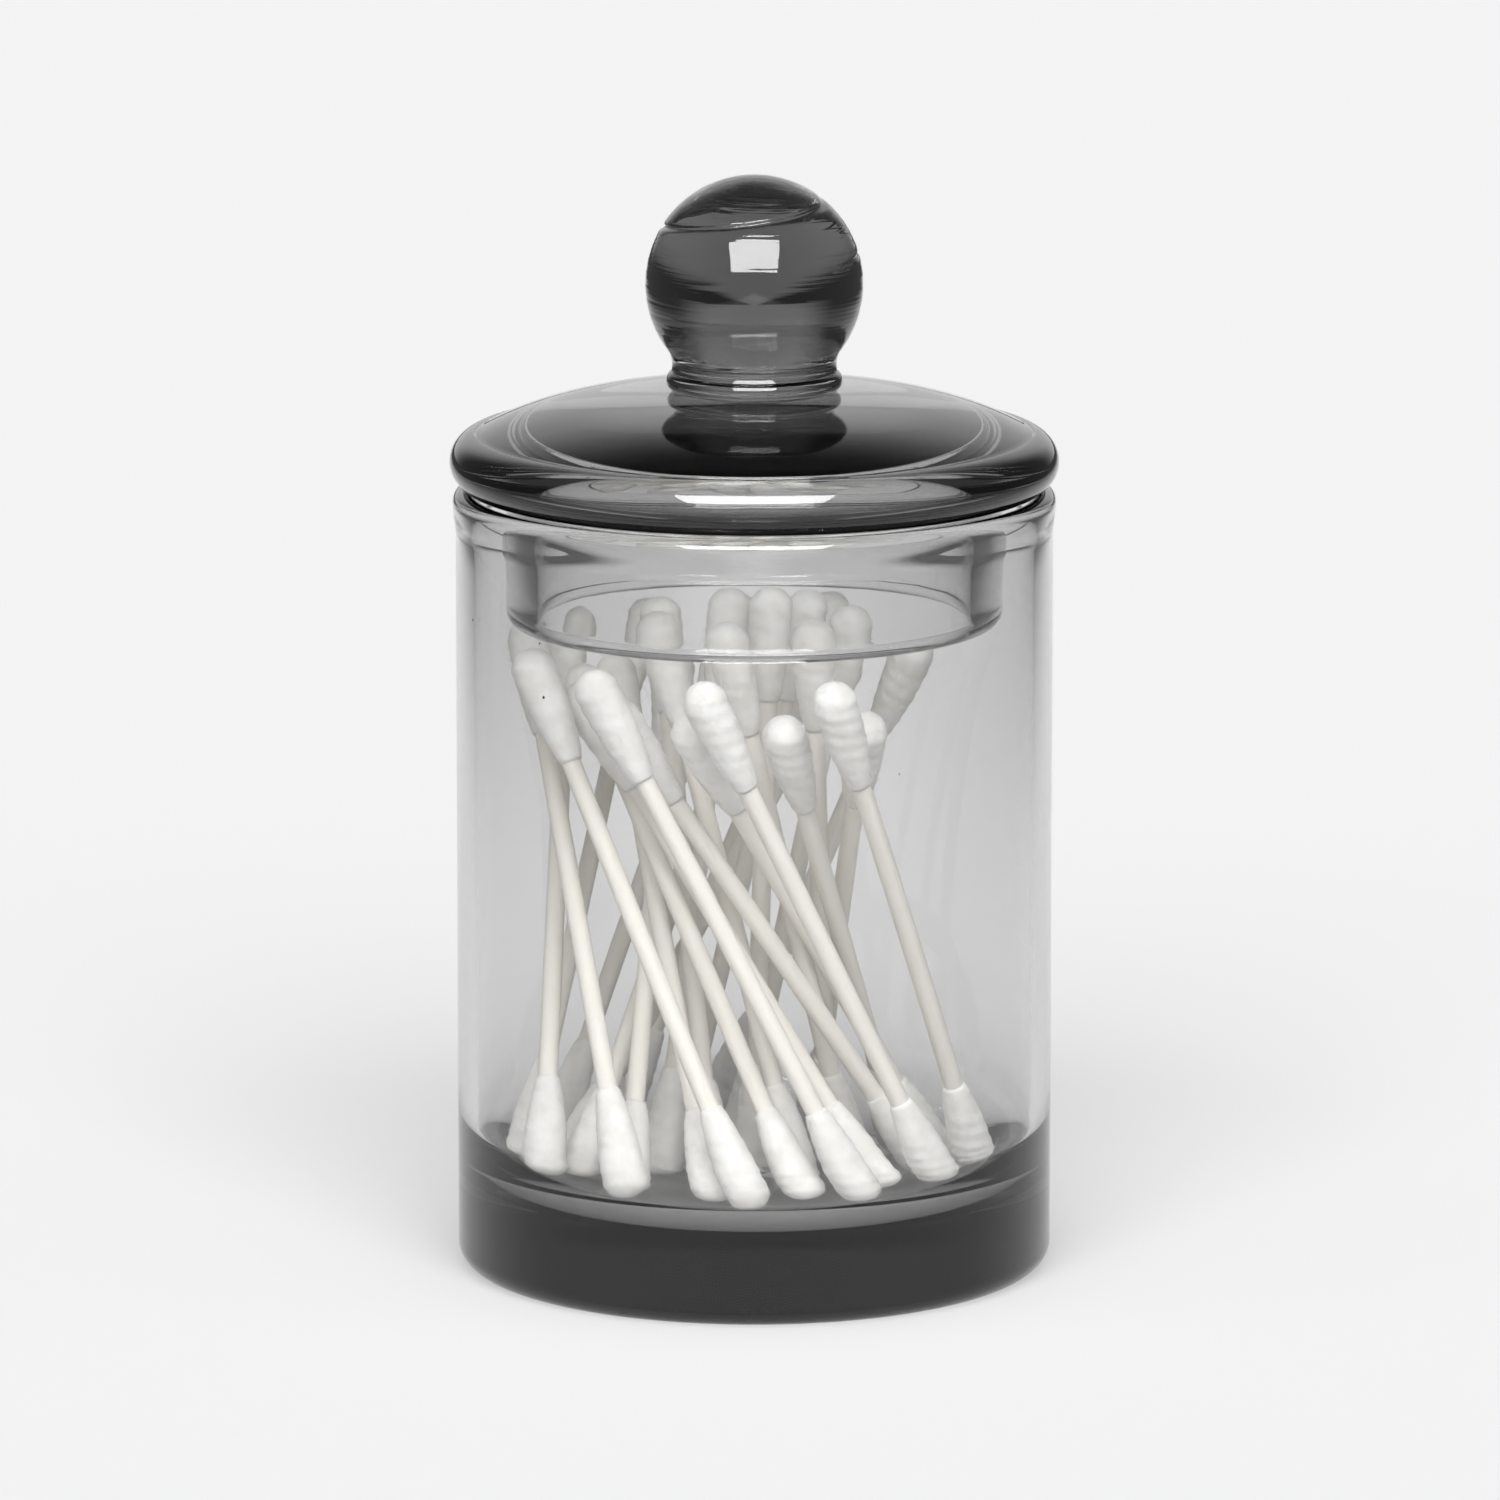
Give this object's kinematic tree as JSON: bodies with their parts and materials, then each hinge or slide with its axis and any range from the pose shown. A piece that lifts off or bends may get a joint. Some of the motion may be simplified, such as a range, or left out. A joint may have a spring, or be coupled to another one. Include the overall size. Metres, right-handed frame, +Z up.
{
  "type": "glass canister",
  "caption": "Round smoked-glass canister with a heavy base and a domed lid with a ball knob, holding double-ended cotton swabs. The lid lifts straight off.",
  "frame": {"origin": "centre of the flat base of the jar, on the table", "axes": "+Z up along the axis of the jar and the lid; -Y towards the pictured side"},
  "size_m": [0.0754, 0.0754, 0.1371],
  "materials": {
    "smoke_glass": "gloss",
    "cotton": "soft wound fibre",
    "paper_stick": "matte"
  },
  "bodies": {
    "jar": {"jar": "smoke_glass", "swab_01_stick": "paper_stick", "swab_01_tips": "cotton", "swab_02_stick": "paper_stick", "swab_02_tips": "cotton", "swab_03_stick": "paper_stick", "swab_03_tips": "cotton", "swab_04_stick": "paper_stick", "swab_04_tips": "cotton", "swab_05_stick": "paper_stick", "swab_05_tips": "cotton", "swab_06_stick": "paper_stick", "swab_06_tips": "cotton", "swab_07_stick": "paper_stick", "swab_07_tips": "cotton", "swab_08_stick": "paper_stick", "swab_08_tips": "cotton", "swab_09_stick": "paper_stick", "swab_09_tips": "cotton", "swab_10_stick": "paper_stick", "swab_10_tips": "cotton", "swab_11_stick": "paper_stick", "swab_11_tips": "cotton", "swab_12_stick": "paper_stick", "swab_12_tips": "cotton", "swab_13_stick": "paper_stick", "swab_13_tips": "cotton", "swab_14_stick": "paper_stick", "swab_14_tips": "cotton", "swab_15_stick": "paper_stick", "swab_15_tips": "cotton", "swab_16_stick": "paper_stick", "swab_16_tips": "cotton", "swab_17_stick": "paper_stick", "swab_17_tips": "cotton", "swab_18_stick": "paper_stick", "swab_18_tips": "cotton", "swab_19_stick": "paper_stick", "swab_19_tips": "cotton", "swab_20_stick": "paper_stick", "swab_20_tips": "cotton", "swab_21_stick": "paper_stick", "swab_21_tips": "cotton", "swab_22_stick": "paper_stick", "swab_22_tips": "cotton", "swab_23_stick": "paper_stick", "swab_23_tips": "cotton", "swab_24_stick": "paper_stick", "swab_24_tips": "cotton", "swab_25_stick": "paper_stick", "swab_25_tips": "cotton", "swab_26_stick": "paper_stick", "swab_26_tips": "cotton", "swab_27_stick": "paper_stick", "swab_27_tips": "cotton", "swab_28_stick": "paper_stick", "swab_28_tips": "cotton"},
    "lid": {"lid": "smoke_glass"}
  },
  "joints": [
    {"name": "lid_lift", "type": "slide", "parent": "jar", "child": "lid", "axis": [0, 0, 1], "range_m": [0, 0.06]}
  ]
}
